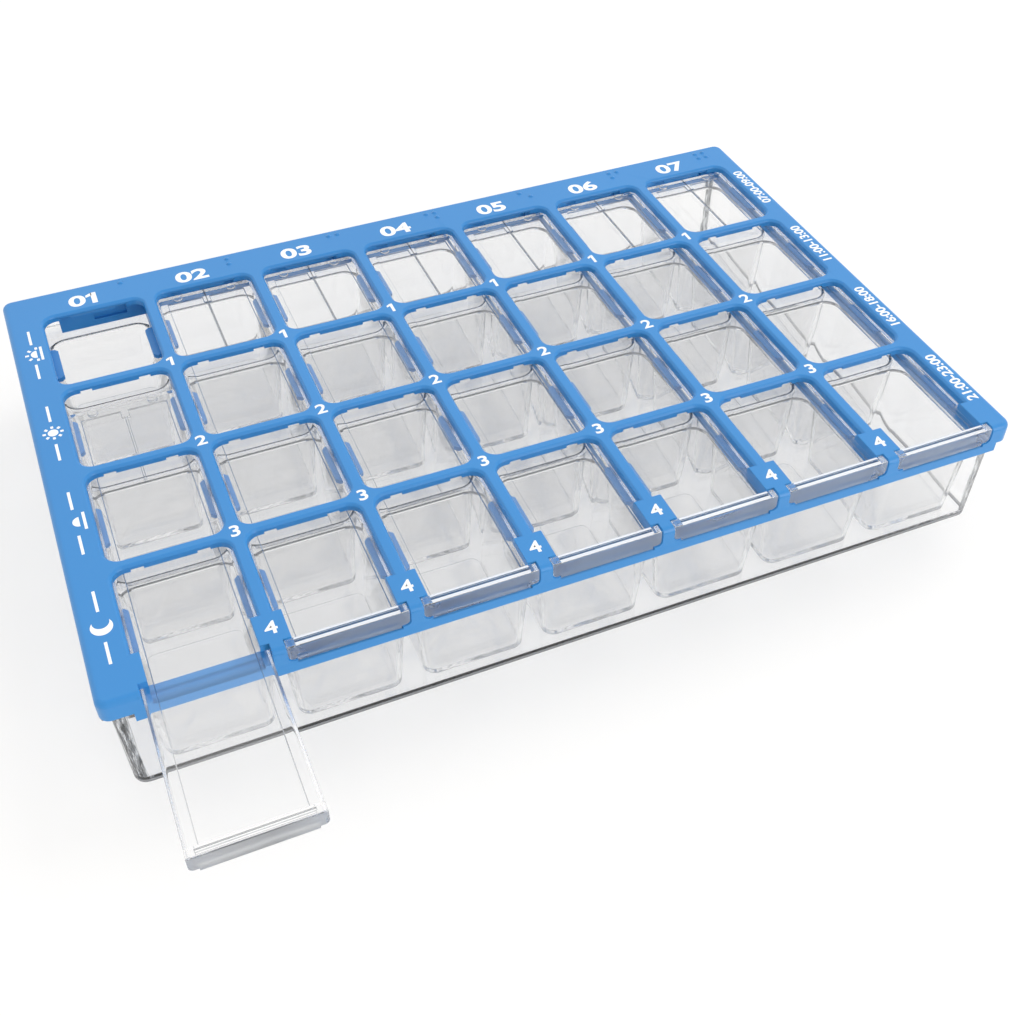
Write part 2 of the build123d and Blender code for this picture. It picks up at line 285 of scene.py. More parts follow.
@dataclass(frozen=True)
class ClearPolystyrene(Finish):
    """Injection-moulded crystal polystyrene: a hard, water-clear gloss with a faint waviness where
    the melt flowed, and a little light lost at each wall, so that stacked walls look grey. Darker
    copies of it paint in the thin grey and dark lines that rounded edges show where they turn the
    light away, a whitened copy paints in the white highlight of a rounded ridge that catches the
    light overhead, and a copy with painted streaks paints in the dark and pale streaks that a tight
    corner bends the light into. Lamps shine straight through it."""

    name: str
    colour: str = "#FEFEFE"
    shade: str = "#FDFDFD"
    # Colour of painted dark streaks, laid over the colour along the flow's waviness, or None
    streak: str | None = None
    # Share of it that is clear; a painted highlight or a painted band turns the rest diffuse
    clear: float = 1.0
    roughness: float = 0.02
    # Share of the roughness that it varies by
    gloss_play: float = 0.5
    ior: float = 1.59
    flow_mm: tuple[float, float, float] = (14.0, 60.0, 14.0)
    flow_height_mm: float = 0.002

    def surface(self, tree: NodeTree, spot: NodeSocket) -> NodeSocket:
        """Add the surface's nodes, as for any finish."""
        along = add(tree, "ShaderNodeMapping",
                    {"Vector": spot, "Scale": tuple(1 / (size * MM) for size in self.flow_mm)})
        flow = add(tree, "ShaderNodeTexNoise",
                   {"Vector": along.outputs["Vector"], "Scale": 1.0, "Detail": 1.0})
        gloss = add(tree, "ShaderNodeMapRange",
                    {"Value": flow.outputs["Fac"], "From Min": 0.3, "From Max": 0.7,
                     "To Min": self.roughness * (1 - self.gloss_play),
                     "To Max": self.roughness * (1 + self.gloss_play)})
        bump = add(tree, "ShaderNodeBump",
                   {"Height": flow.outputs["Fac"], "Strength": 0.5,
                    "Distance": self.flow_height_mm * MM})
        surface = add(tree, "ShaderNodeBsdfPrincipled",
                      {"Base Color": linear(self.colour), "Roughness": gloss.outputs["Result"],
                       "IOR": self.ior, "Transmission Weight": self.clear,
                       "Normal": bump.outputs["Normal"]})
        # Painted streaks: the colour turns dark where the flow's noise crosses its middle
        if self.streak is not None:
            split = add(tree, "ShaderNodeMapRange",
                        {"Value": flow.outputs["Fac"], "From Min": 0.44, "From Max": 0.56})
            tone = add(tree, "ShaderNodeMix",
                       {"Factor": split.outputs["Result"], "A": linear(self.colour),
                        "B": linear(self.streak)}, data_type="RGBA")
            tree.links.new(tone.outputs["Result"], surface.inputs["Base Color"])
        rays = add(tree, "ShaderNodeLightPath").outputs
        passed = add(tree, "ShaderNodeBsdfTransparent", {"Color": linear(self.shade)}).outputs["BSDF"]
        bounced = add(tree, "ShaderNodeMixShader",
                      {0: rays["Is Diffuse Ray"], 1: surface.outputs["BSDF"], 2: passed})
        lit = add(tree, "ShaderNodeMixShader",
                  {0: rays["Is Shadow Ray"], 1: bounced.outputs["Shader"], 2: passed})
        return lit.outputs["Shader"]


@dataclass(frozen=True)
class PadPrint(Finish):
    """White pad-printing ink on the frame: a flat, opaque film with a slightly uneven edge-to-edge
    density where the pad pressed it."""

    name: str = "pad_printed_white_ink"
    colour: str = "#FBFBFA"
    thin: str = "#F0F3F6"
    roughness: float = 0.45
    gloss_play: float = 0.08
    density_mm: float = 1.6

    def surface(self, tree: NodeTree, spot: NodeSocket) -> NodeSocket:
        """Add the surface's nodes, as for any finish."""
        density = add(tree, "ShaderNodeTexNoise",
                      {"Vector": spot, "Scale": 1 / (self.density_mm * MM), "Detail": 3.0})
        tone = add(tree, "ShaderNodeMix",
                   {"Factor": density.outputs["Fac"], "A": linear(self.colour), "B": linear(self.thin)},
                   data_type="RGBA")
        gloss = add(tree, "ShaderNodeMapRange",
                    {"Value": density.outputs["Fac"], "To Min": self.roughness - self.gloss_play,
                     "To Max": self.roughness + self.gloss_play})
        surface = add(tree, "ShaderNodeBsdfPrincipled",
                      {"Base Color": tone.outputs["Result"], "Roughness": gloss.outputs["Result"],
                       "IOR": 1.5})
        return surface.outputs["BSDF"]


@dataclass(frozen=True)
class PaperFloor(Finish):
    """Seamless white studio paper: a plain matt white with a hardly visible tooth."""

    name: str = "white_studio_paper"
    colour: str = "#FCFAF7"
    tooth_mm: float = 2.0
    # Share of plain white that the camera sees, which lifts the shadow as a bright set does
    lift: float = 0.45

    def surface(self, tree: NodeTree, spot: NodeSocket) -> NodeSocket:
        """Add the surface's nodes, as for any finish."""
        tooth = add(tree, "ShaderNodeTexNoise",
                    {"Vector": spot, "Scale": 1 / (self.tooth_mm * MM), "Detail": 2.0})
        gloss = add(tree, "ShaderNodeMapRange",
                    {"Value": tooth.outputs["Fac"], "To Min": 0.9, "To Max": 1.0})
        surface = add(tree, "ShaderNodeBsdfPrincipled",
                      {"Base Color": linear(self.colour), "Roughness": gloss.outputs["Result"],
                       "Specular IOR Level": 0.0})
        share = add(tree, "ShaderNodeMath", {0: seen_share(tree), 1: self.lift}, operation="MULTIPLY")
        white = add(tree, "ShaderNodeEmission", {"Color": linear(WHITE), "Strength": 1.0})
        both = add(tree, "ShaderNodeMixShader",
                   {0: share.outputs[0], 1: surface.outputs["BSDF"], 2: white.outputs["Emission"]})
        return both.outputs["Shader"]


def put(name: str, data: ID) -> Object:
    """Add an object to the scene, at the origin.

    Args:
        name: its name.
        data: its mesh, figures, light or camera.

    Returns:
        The object.
    """
    item = bpy.data.objects.new(name, data)
    bpy.context.scene.collection.objects.link(item)
    return item


def repeat_tree() -> NodeTree:
    """Make the Geometry Nodes tree that sets copies of one shape in a straight row.

    Returns:
        The node group, with its sizes as named inputs.
    """
    tree = bpy.data.node_groups.new("row_of_one_shape", "GeometryNodeTree")
    for name, kind in (("Shape", "NodeSocketGeometry"), ("Count", "NodeSocketInt"),
                       ("First", "NodeSocketVector"), ("Step", "NodeSocketVector"),
                       ("Finish", "NodeSocketMaterial")):
        tree.interface.new_socket(name, in_out="INPUT", socket_type=kind)
    tree.interface.new_socket("Row", in_out="OUTPUT", socket_type="NodeSocketGeometry")
    given = add(tree, "NodeGroupInput").outputs
    line = add(tree, "GeometryNodeMeshLine",
               {"Count": given["Count"], "Start Location": given["First"], "Offset": given["Step"]},
               mode="OFFSET")
    copies = add(tree, "GeometryNodeInstanceOnPoints",
                 {"Points": line.outputs["Mesh"], "Instance": given["Shape"]})
    solid = add(tree, "GeometryNodeRealizeInstances", {"Geometry": copies.outputs["Instances"]})
    dressed = add(tree, "GeometryNodeSetMaterial",
                  {"Geometry": solid.outputs["Geometry"], "Material": given["Finish"]})
    add(tree, "NodeGroupOutput", {"Row": dressed.outputs["Geometry"]})
    return tree


def in_row(tree: NodeTree, shape: Mesh, count: int, first: Vector, step: Vector,
           finish: Material) -> Mesh:
    """Repeat a shape with the row tree and turn the result into a plain mesh.

    Args:
        tree: the tree that repeat_tree made.
        shape: mesh of one copy, about the origin.
        count: number of copies.
        first: place of the first copy, in metres.
        step: way from one copy to the next, in metres.
        finish: material of the row.

    Returns:
        One mesh with all copies.
    """
    carrier = put("row_carrier", shape)
    modifier = carrier.modifiers.new("row", "NODES")
    modifier.node_group = tree
    names = {item.name: item.identifier for item in tree.interface.items_tree
             if item.in_out == "INPUT"}
    for name, value in (("Count", count), ("First", first), ("Step", step), ("Finish", finish)):
        modifier[names[name]] = value
    depsgraph = bpy.context.evaluated_depsgraph_get()
    row = bpy.data.meshes.new_from_object(carrier.evaluated_get(depsgraph))
    carrier.modifiers.remove(modifier)
    bpy.data.objects.remove(carrier)
    return row


def merged_copy(node: str) -> BMesh:
    """Copy a CAD node's triangles, joined to whole faces that shade smoothly.

    Args:
        node: name of the CAD node.

    Returns:
        The joined copy.
    """
    bm = bmesh.new()
    bm.from_mesh(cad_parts[node].data)
    bmesh.ops.remove_doubles(bm, verts=bm.verts, dist=SAME_POINT_MM * MM)
    bmesh.ops.dissolve_limit(bm, angle_limit=FLAT, use_dissolve_boundaries=False, verts=bm.verts,
                             edges=bm.edges)
    for face in bm.faces:
        face.smooth = True
    return bm


def score(bm: BMesh, place: Vector, across: Vector) -> None:
    """Cut every face along a plane, so that the two sides can have their own finishes.

    Args:
        bm: the geometry.
        place: a point of the plane, in metres.
        across: the plane's normal.
    """
    bmesh.ops.bisect_plane(bm, geom=bm.verts[:] + bm.edges[:] + bm.faces[:],
                           dist=SAME_POINT_MM / 2 * MM, plane_co=place, plane_no=across)


def show(name: str, bm: BMesh, *finishes: Material) -> Object:
    """Turn a bmesh into a piece with sharp creases.

    Args:
        name: the piece's name.
        bm: its geometry, which is freed.
        *finishes: its materials, in the order of the faces' material numbers.

    Returns:
        The piece, at the origin.
    """
    mesh = bpy.data.meshes.new(name)
    bm.to_mesh(mesh)
    bm.free()
    mesh.set_sharp_from_angle(angle=CREASE)
    for finish in finishes:
        mesh.materials.append(finish)
    return put(name, mesh)


def soften(piece: Object, radius_mm: float, above_mm: float | None = None, finish: int = -1) -> None:
    """Round a piece's creases as a mould does.

    Args:
        piece: the piece.
        radius_mm: width of the rounding.
        above_mm: height that a crease has to be above to be rounded, or None for every crease.
        finish: number of the rounding's material on the piece, or -1 for that of its neighbours.
    """
    rounding = piece.modifiers.new("moulded_edges", "BEVEL")
    rounding.limit_method = "ANGLE"
    rounding.angle_limit = CREASE
    if above_mm is not None:
        mesh = piece.data
        chosen = mesh.attributes.new("bevel_weight_edge", "FLOAT", "EDGE")
        sharp = mesh.attributes["sharp_edge"]
        for edge in mesh.edges:
            high = all(mesh.vertices[at].co.z > above_mm * MM for at in edge.vertices)
            chosen.data[edge.index].value = float(high and sharp.data[edge.index].value)
        rounding.limit_method = "WEIGHT"
    rounding.width = radius_mm * MM
    rounding.segments = EDGE_STEPS
    rounding.material = finish
    rounding.use_clamp_overlap = False
    flat = piece.modifiers.new("flat_faces", "WEIGHTED_NORMAL")
    flat.weight = 100
    flat.keep_sharp = True


def settle(piece: Object, body: str,
           stands_for: str | None = None) -> None:
    """Fix a finished piece to its body and report it.

    Args:
        piece: the finished piece.
        body: body of the CAD model that carries it.
        stands_for: CAD node that it replaces.
    """
    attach(piece, body)
    if stands_for is not None:
        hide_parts(stands_for)
    LOG.info("%s rides on %s", piece.name, body)


@dataclass
class Grid:
    """Columns and rows of the organizer, in millimetres. The columns follow the lids' CAD boxes."""

    row_pitch: float = 34.2
    first_row: float = 48.05
    rows: int = 4
    # Flat top of the frame's plate, under the raised day dots
    frame_top: float = 33.0

    def column_x(self, day: Day) -> float:
        """Middle of a day's column."""
        low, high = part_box(day.lid_node)
        return (low.x + high.x) / 2 / MM

    def row_y(self, row: int) -> float:
        """Middle of a row, the first at the back."""
        return self.first_row - self.row_pitch * row


@dataclass
class BlueFrame:
    """The blue moulding with its windows, guides and slotted front."""

    finish: Material
    edge_r: float = 0.16
    edge_floor: float = 32.0

    def build(self) -> None:
        """Copy the CAD moulding with softened edges, and dress it."""
        piece = show("frame_moulding", merged_copy("top_frame"), self.finish)
        soften(piece, self.edge_r, above_mm=self.edge_floor)
        settle(piece, CASE, "top_frame")


@dataclass
class SlidingLid:
    """One clear lid with its rails, rear bosses, latch, centre rib and grip lip."""

    day: Day
    finish: Material
    # The next four paint light: grey shade on rounded edges, a white highlight, dark lines, and the
    # grip's colour
    edge: Material
    ridge: Material
    groove: Material
    grip: Material
    # Whether it gets its painted highlights and painted dark lines
    marked: bool
    edge_r: float = 0.1
    rib_w: float = 0.5
    rail_top: float = 30.9
    lip_t: float = 2.6
    lip_w: float = 23.6
    lip_round: float = 0.5
    ridge_drop: float = 0.25
    slack: float = 0.05
    # Shares of a face's normal that point one way, which tell the faces apart
    facing: float = 0.9
    ridge_up: float = 0.6
    boss_up: float = 0.5
    lip_up: float = 0.1

    def lines(self, bm: BMesh) -> None:
        """Mark the faces that get painted light: a painted highlight on the lip's ridges and the bosses'
        sides, painted dark lines on the centre rib and the groove and outer sides of the lip, and on the
        lip's front, which fingers push, a matt finish whose colour paints in what shows through it. A
        lid without painted lines, as the pulled-out one, which lies over white, keeps a clear rib and
        clear ridges.

        Args:
            bm: the lid's geometry, scored along the sides of the rib and lip.
        """
        low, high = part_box(self.day.lid_node)
        for face in bm.faces:
            spot, up = face.calc_center_median(), face.normal.z
            side = abs(spot.x - (low.x + high.x) / 2) / MM
            height, below_top = spot.z / MM, (high.z - spot.z) / MM
            look = LidLook.CLEAR
            if spot.y < low.y + self.lip_t * MM:
                rounded = below_top < self.lip_round and up > self.lip_up and side < self.lip_w / 2
                if face.normal.y < -self.facing:
                    look = LidLook.GRIP
                elif self.marked and rounded:
                    ridge = up > self.ridge_up and below_top < self.ridge_drop
                    look = LidLook.RIDGE if ridge else LidLook.GROOVE
            elif height > self.rail_top + self.slack:
                if up < self.boss_up:
                    look = LidLook.RIDGE
            elif up > self.facing and height > self.rail_top - self.slack:
                if self.marked and side < self.rib_w / 2:
                    look = LidLook.GROOVE
            face.material_index = look

    def build(self) -> None:
        """Copy the CAD lid with softened edges, and dress it."""
        bm = merged_copy(self.day.lid_node)
        low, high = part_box(self.day.lid_node)
        for reach in (-self.lip_w, -self.rib_w, self.rib_w, self.lip_w):
            score(bm, Vector(((low.x + high.x + reach * MM) / 2, 0, 0)), Vector((1, 0, 0)))
        self.lines(bm)
        piece = show(f"sliding_lid_{self.day.value}", bm, self.finish, self.edge, self.ridge,
                     self.groove, self.grip)
        # Its rounded edges get painted grey shade
        soften(piece, self.edge_r, finish=LidLook.EDGE)
        settle(piece, self.day.lid_body, self.day.lid_node)


@dataclass
class ClearTray:
    """The clear outer tray, with a rounded foot all round. A painted grey band under a painted darker
    line stands for the edge of its floor as it reads through the walls, and painted streaks for the
    light bent in its rounded corners."""

    finish: Material
    # Materials that paint light: a dark line, a grey band and streaky corners
    edge: Material
    band: Material
    corner: Material
    edge_r: float = 0.15
    foot_r: float = 0.3
    foot_steps: int = 4
    floor_t: float = 1.2
    wall_t: float = 1.6
    line_w: float = 0.25
    # Shares of a face's normal: upwards, from which it is no wall, and sideways, from which it turns
    level: float = 0.95
    turned: float = 0.15

    def lines(self, bm: BMesh) -> None:
        """Mark the painted grey band and painted dark line at the foot of the walls, and the painted
        streaks on the rounded corners.

        Args:
            bm: the tray's geometry, scored at the band's and the line's top.
        """
        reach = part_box("base_tray")[1] - Vector((1, 1, 0)) * 2 * self.wall_t * MM
        for face in bm.faces:
            spot = face.calc_center_median()
            outside = abs(spot.x) > reach.x or abs(spot.y) > reach.y
            if abs(face.normal.z) > self.level or not outside:
                continue
            height = spot.z / MM
            if self.floor_t < height < self.floor_t + self.line_w:
                face.material_index = TrayLook.EDGE
            elif self.foot_r < height < self.floor_t:
                face.material_index = TrayLook.BAND
            elif height > self.floor_t and min(abs(face.normal.x), abs(face.normal.y)) > self.turned:
                face.material_index = TrayLook.CORNER

    def build(self) -> None:
        """Copy the CAD tray, round its foot and its edges, and dress it."""
        bm = merged_copy("base_tray")
        for level in (self.floor_t, self.floor_t + self.line_w):
            score(bm, Vector((0, 0, level * MM)), Vector((0, 0, 1)))
        foot = [edge for edge in bm.edges
                if all(vert.co.z < LEVEL_MM * MM for vert in edge.verts)
                and edge.calc_face_angle(0.0) > CREASE]
        bmesh.ops.bevel(bm, geom=foot, offset=self.foot_r * MM, segments=self.foot_steps, profile=0.5,
                        affect="EDGES", clamp_overlap=True)
        self.lines(bm)
        piece = show("clear_tray", bm, self.finish, self.edge, self.band, self.corner)
        # Its rounded edges get the painted dark line too
        soften(piece, self.edge_r, finish=TrayLook.EDGE)
        settle(piece, CASE, "base_tray")


@dataclass
class TubStrip:
    """Four tubs hung from one deck, for one day: drafted walls, rounded rims and rounded floors."""

    day: Day
    grid: Grid
    row_tree: NodeTree
    finish: Material
    # Painted dark line for the rims' fronts, and painted grey line for their backs and the feet
    rim: Material
    edge: Material
    rim_w: float = 27.2
    rim_length: float = 31.8
    wall: float = 1.1
    draft: float = 1.9
    corner_r: float = 4.0
    depth: float = 22.0
    deck_t: float = 1.2
    rim_r: float = 0.35
    line_w: float = 0.3
    floor_r: float = 0.15
    foot_r: float = 0.25
    # The strip is held this far off the tray, so that the two clear faces don't share a place
    seat: float = 0.04
    support: float = 0.5
    corner_steps: int = 8
    arc_steps: int = 4
    deck_corner_r: float = 2.3
    line_name: str = "line"
    # Share of the corners' radius that the straight part of a rim's painted line leaves out
    line_end: float = 0.7

    @property
    def deck_top(self) -> float:
        """Height of the deck's top."""
        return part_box(self.day.strip_node)[1].z / MM - self.seat

    @property
    def foot(self) -> float:
        """Height of the tubs' undersides."""
        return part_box(self.day.strip_node)[0].z / MM + self.seat

    @property
    def arc(self) -> list[float]:
        """Angles of the points on a rounded edge."""
        return [math.pi / 2 * step / self.arc_steps for step in range(self.arc_steps + 1)]

    def outline(self, inset: float) -> Points:
        """Plan of the rim, set in all round, with points beside its corners that keep the sides flat.

        Args:
            inset: how far the outline is set in from the rim.

        Returns:
            Points of the outline, in millimetres, counterclockwise.
        """
        radius = self.corner_r - inset
        reach_x = self.rim_w / 2 - inset - radius
        reach_y = self.rim_length / 2 - inset - radius
        points = []
        for quarter, (side_x, side_y) in enumerate(QUARTERS):
            for step in range(self.corner_steps + 1):
                angle = math.pi / 2 * (quarter + step / self.corner_steps)
                x = side_x * reach_x + radius * math.cos(angle)
                y = side_y * reach_y + radius * math.sin(angle)
                ahead = (-math.sin(angle) * self.support, math.cos(angle) * self.support)
                if step == 0:
                    points.append((x - ahead[0], y - ahead[1]))
                points.append((x, y))
                if step == self.corner_steps:
                    points.append((x + ahead[0], y + ahead[1]))
        return points

    def turn(self, inset: float, height: float, radius: float) -> Points:
        """Section of the rounded turn from a wall to a floor.

        Args:
            inset: how far the wall's lower end is set in from the rim.
            height: height of the floor.
            radius: radius of the turn.

        Returns:
            Pairs of inset and height, in millimetres.
        """
        return [(inset + radius - radius * math.cos(angle), height + radius - radius * math.sin(angle))
                for angle in self.arc]

    def inside(self) -> Points:
        """Section of the tub's inside, from the rim to the floor.

        Returns:
            Pairs of inset and height, in millimetres.
        """
        top, floor, bend = self.deck_top, self.deck_top - self.depth, self.rim_r
        rim = [(-bend - self.line_w, top)]
        rim += [(-bend + bend * math.sin(angle), top - bend + bend * math.cos(angle))
                for angle in self.arc]
        slope = self.draft / self.depth
        walls = [(slope * (bend + self.support), top - bend - self.support),
                 (self.draft - slope * self.support, floor + self.floor_r + self.support)]
        return rim + walls + self.turn(self.draft, floor, self.floor_r)

    def outside(self) -> Points:
        """Section of the tub's outside, from the deck's underside to the foot.

        Returns:
            Pairs of inset and height, in millimetres.
        """
        under, foot = self.deck_top - self.deck_t, self.foot
        slope = self.draft / (self.deck_top - foot)
        start = -self.wall + slope * self.deck_t
        end = -self.wall + self.draft
        walls = [(start, under), (start + slope * self.support, under - self.support),
                 (end - slope * self.support, foot + self.foot_r + self.support)]
        return walls + self.turn(end, foot, self.foot_r)

    def tub(self) -> Mesh:
        """Make one open tub about the origin: its inside and its outside, not yet joined.

        Returns:
            The mesh.
        """
        bm = bmesh.new()
        line = bm.faces.layers.int.new(self.line_name)
        for inner, section in ((True, self.inside()), (False, self.outside())):
            rings = [[bm.verts.new((x * MM, y * MM, z * MM)) for x, y in self.outline(inset)]
                     for inset, z in section]
            for step, (upper, lower) in enumerate(zip(rings, rings[1:])):
                left = len(rings) - 1 - step
                for here in range(len(upper)):
                    after = (here + 1) % len(upper)
                    face = bm.faces.new((upper[here], upper[after], lower[after], lower[here]))
                    face.smooth = True
                    face[line] = self.line(inner, step, left, face.calc_center_median().y / MM)
            bm.faces.new(rings[-1])
        mesh = bpy.data.meshes.new("one_tub")
        bm.to_mesh(mesh)
        bm.free()
        return mesh

    def line(self, inner: bool, step: int, left: int, y: float) -> TubLook:
        """Look of one face: a painted dark line along the front of a rim, and a painted grey one along
        its back and round the foot.

        Args:
            inner: whether the face is on the tub's inside.
            step: faces above it on its side of the tub.
            left: faces from it to the end of its side of the tub, with itself.
            y: its place along the tub, in millimetres from the middle.

        Returns:
            The face's look.
        """
        end = self.rim_length / 2 - self.line_end * self.corner_r
        if not inner:
            return TubLook.EDGE if left <= self.arc_steps else TubLook.CLEAR
        if step <= self.arc_steps and y < -end:
            return TubLook.RIM
        return TubLook.EDGE if 0 < step <= self.arc_steps and y > end else TubLook.CLEAR

    def deck_plan(self) -> Points:
        """Plan of the deck: square between the days, rounded at the tray's corners.

        Returns:
            Points of the outline, in millimetres, counterclockwise.
        """
        low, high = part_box(self.day.strip_node)
        left, right, front, back = low.x / MM, high.x / MM, low.y / MM, high.y / MM
        radius = {-1: self.deck_corner_r if self.day is Day.SUNDAY else 0.0,
                  1: self.deck_corner_r if self.day is Day.SATURDAY else 0.0}
        points = []
        for quarter, (side_x, side_y) in enumerate(QUARTERS):
            bend = radius[side_x]
            centre_x = (right - bend) if side_x > 0 else (left + bend)
            centre_y = (back - bend) if side_y > 0 else (front + bend)
            for step in range(self.corner_steps + 1 if bend else 1):
                angle = math.pi / 2 * (quarter + step / self.corner_steps)
                points.append((centre_x + bend * math.cos(angle), centre_y + bend * math.sin(angle)))
        return points

    def build(self) -> None:
        """Set four tubs in a row, join them with their deck, and dress the strip."""
        first = Vector((self.grid.column_x(self.day), self.grid.row_y(0), 0)) * MM
        step = Vector((0, -self.grid.row_pitch, 0)) * MM
        row = in_row(self.row_tree, self.tub(), self.grid.rows, first, step, self.finish)
        bm = bmesh.new()
        bm.from_mesh(row)
        levels = (self.deck_top * MM, (self.deck_top - self.deck_t) * MM)
        loops = []
        for level in levels:
            edges = [edge for edge in bm.edges if edge.is_boundary
                     and all(abs(vert.co.z - level) < LEVEL_MM * MM for vert in edge.verts)]
            corners = [bm.verts.new((x * MM, y * MM, level)) for x, y in self.deck_plan()]
            edges += [bm.edges.new((corners[at - 1], corners[at])) for at in range(len(corners))]
            bmesh.ops.triangle_fill(bm, use_beauty=True, use_dissolve=False, edges=edges)
            loops.append(corners)
        upper, lower = loops
        for at in range(len(upper)):
            bm.faces.new((upper[at - 1], upper[at], lower[at], lower[at - 1]))
        bmesh.ops.recalc_face_normals(bm, faces=bm.faces)
        line = bm.faces.layers.int[self.line_name]
        for face in bm.faces:
            face.material_index = face[line]
        piece = show(f"tubs_{self.day.value}", bm, self.finish, self.rim, self.edge)
        settle(piece, CASE, self.day.strip_node)


def flat_face(bm: BMesh, points: Points) -> None:
    """Add a flat face at height 0.

    Args:
        bm: shape that gets it.
        points: its corners in millimetres, counterclockwise.
    """
    bm.faces.new([bm.verts.new((x * MM, y * MM, 0)) for x, y in points])


@dataclass(frozen=True)
class Lettering:
    """Plain figures of one height, widened, with strokes thickened by a share of the font's size."""

    cap_mm: float
    wide: float
    heavy: float
    curve_steps: int = 6
    # In the font's own units
    same_point: float = 1e-5

    def shape(self, text: str) -> BMesh:
        """Make flat figures about the origin, reading along +X.

        Args:
            text: the figures.

        Returns:
            Flat faces at height 0.
        """
        curve = bpy.data.curves.new("figures", "FONT")
        curve.body = text
        curve.offset = self.heavy
        curve.resolution_u = self.curve_steps
        words = put("figures", curve)
        depsgraph = bpy.context.evaluated_depsgraph_get()
        mesh = bpy.data.meshes.new_from_object(words.evaluated_get(depsgraph))
        bpy.data.objects.remove(words)
        bm = bmesh.new()
        bm.from_mesh(mesh)
        bmesh.ops.remove_doubles(bm, verts=bm.verts, dist=self.same_point)
        low = Vector((min(v.co.x for v in bm.verts), min(v.co.y for v in bm.verts), 0))
        high = Vector((max(v.co.x for v in bm.verts), max(v.co.y for v in bm.verts), 0))
        cap = high.y - low.y
        if text.endswith("1"):
            stem = high.x - STEM_W * cap
            bm.faces.new([bm.verts.new((stem - left * cap, high.y - down * cap, 0))
                          for left, down in ONE_STROKE])
        scale = self.cap_mm * MM / cap
        bmesh.ops.translate(bm, verts=bm.verts, vec=-(low + high) / 2)
        bmesh.ops.scale(bm, verts=bm.verts, vec=(scale * self.wide, scale, 1))
        return bm


@dataclass(frozen=True)
class SignDrawing:
    """Sun and moon signs, flat about the origin and upright along +Y, each between two short rules.
    Sizes are in millimetres and shares are of the sign's half size."""

    size: float = 5.2
    rule_length: float = 6.4
    rule_gap: float = 4.6
    rule_w: float = 0.7
    # Shares of a sun's disc and of the inner and outer ends of its rays
    high_sun: tuple[float, float, float] = (0.5, 0.68, 1.0)
    low_sun: tuple[float, float, float] = (0.62, 0.82, 1.2)
    high_rays: int = 8
    low_rays: int = 5
    ray_step: float = 45.0
    sun_drop: float = 0.35
    horizon: float = 1.15
    horizon_drop: float = 0.8
    sun_steps: int = 28
    moon: float = 0.95
    moon_bite: float = 0.55
    # Angle of the moon's tips off the way that it opens, in degrees
    moon_tip: float = 50.0
    moon_steps: int = 24

    def bar(self, bm: BMesh, start: float, end: float, angle: float = 0.0,
            line: float = 0.0) -> None:
        """Add a flat bar that points away from the origin, or from a point above or below it.

        Args:
            bm: shape that gets it.
            start: where it starts, in millimetres.
            end: where it ends, in millimetres.
            angle: its direction in degrees.
            line: height of the point, in millimetres.
        """
        along = Vector((math.cos(math.radians(angle)), math.sin(math.radians(angle))))
        across = Vector((-along.y, along.x)) * self.rule_w / 2
        corners = (along * start - across, along * end - across, along * end + across,
                   along * start + across)
        flat_face(bm, [(corner.x, corner.y + line) for corner in corners])

    def sun(self, bm: BMesh, shares: tuple[float, float, float], sweep: int,
            rays: int) -> None:
        """Add a sun, or the part of it over the horizon, with its rays.

        Args:
            bm: shape that gets it.
            shares: of its disc and of the ends of its rays.
            sweep: how much of it shows, in degrees.
            rays: number of its rays.
        """
        disc, inner, outer = (share * self.size / 2 for share in shares)
        points = self.sun_steps + (0 if sweep == 360 else 1)
        angles = [math.radians(sweep * step / self.sun_steps) for step in range(points)]
        flat_face(bm, [(disc * math.cos(angle), disc * math.sin(angle)) for angle in angles])
        for ray in range(rays):
            self.bar(bm, inner, outer, ray * self.ray_step)

    def crescent(self, bm: BMesh) -> None:
        """Add a crescent moon.

        Args:
            bm: shape that gets it.
        """
        radius, steps = self.moon * self.size / 2, self.moon_steps
        sweep = 360 - 2 * self.moon_tip
        outer = [math.radians(self.moon_tip + sweep * step / steps) for step in range(steps + 1)]
        tip = Vector((math.cos(outer[0]), math.sin(outer[0]))) * radius
        centre = Vector((radius * self.moon_bite, 0))
        reach = (tip - centre).length
        bend = math.atan2(tip.y - centre.y, tip.x - centre.x)
        inner = [2 * math.pi - bend - (2 * math.pi - 2 * bend) * step / steps
                 for step in range(1, steps)]
        points = [(radius * math.cos(a), radius * math.sin(a)) for a in outer]
        points += [(centre.x + reach * math.cos(a), centre.y + reach * math.sin(a)) for a in inner]
        flat_face(bm, points)

    def shape(self, kind: Sign) -> BMesh:
        """Make one sign with its rules.

        Args:
            kind: which sign.

        Returns:
            Flat faces at height 0.
        """
        bm = bmesh.new()
        half = self.size / 2
        if kind is Sign.MOON:
            self.crescent(bm)
        elif kind is Sign.HIGH_SUN:
            self.sun(bm, self.high_sun, 360, self.high_rays)
        else:
            self.sun(bm, self.low_sun, 180, self.low_rays if kind is Sign.RISING_SUN else 0)
            bmesh.ops.translate(bm, verts=bm.verts, vec=Vector((0, -half * self.sun_drop, 0)) * MM)
            self.bar(bm, -half * self.horizon, half * self.horizon, line=-half * self.horizon_drop)
        self.bar(bm, -self.rule_gap - self.rule_length, -self.rule_gap)
        self.bar(bm, self.rule_gap, self.rule_gap + self.rule_length)
        return bm


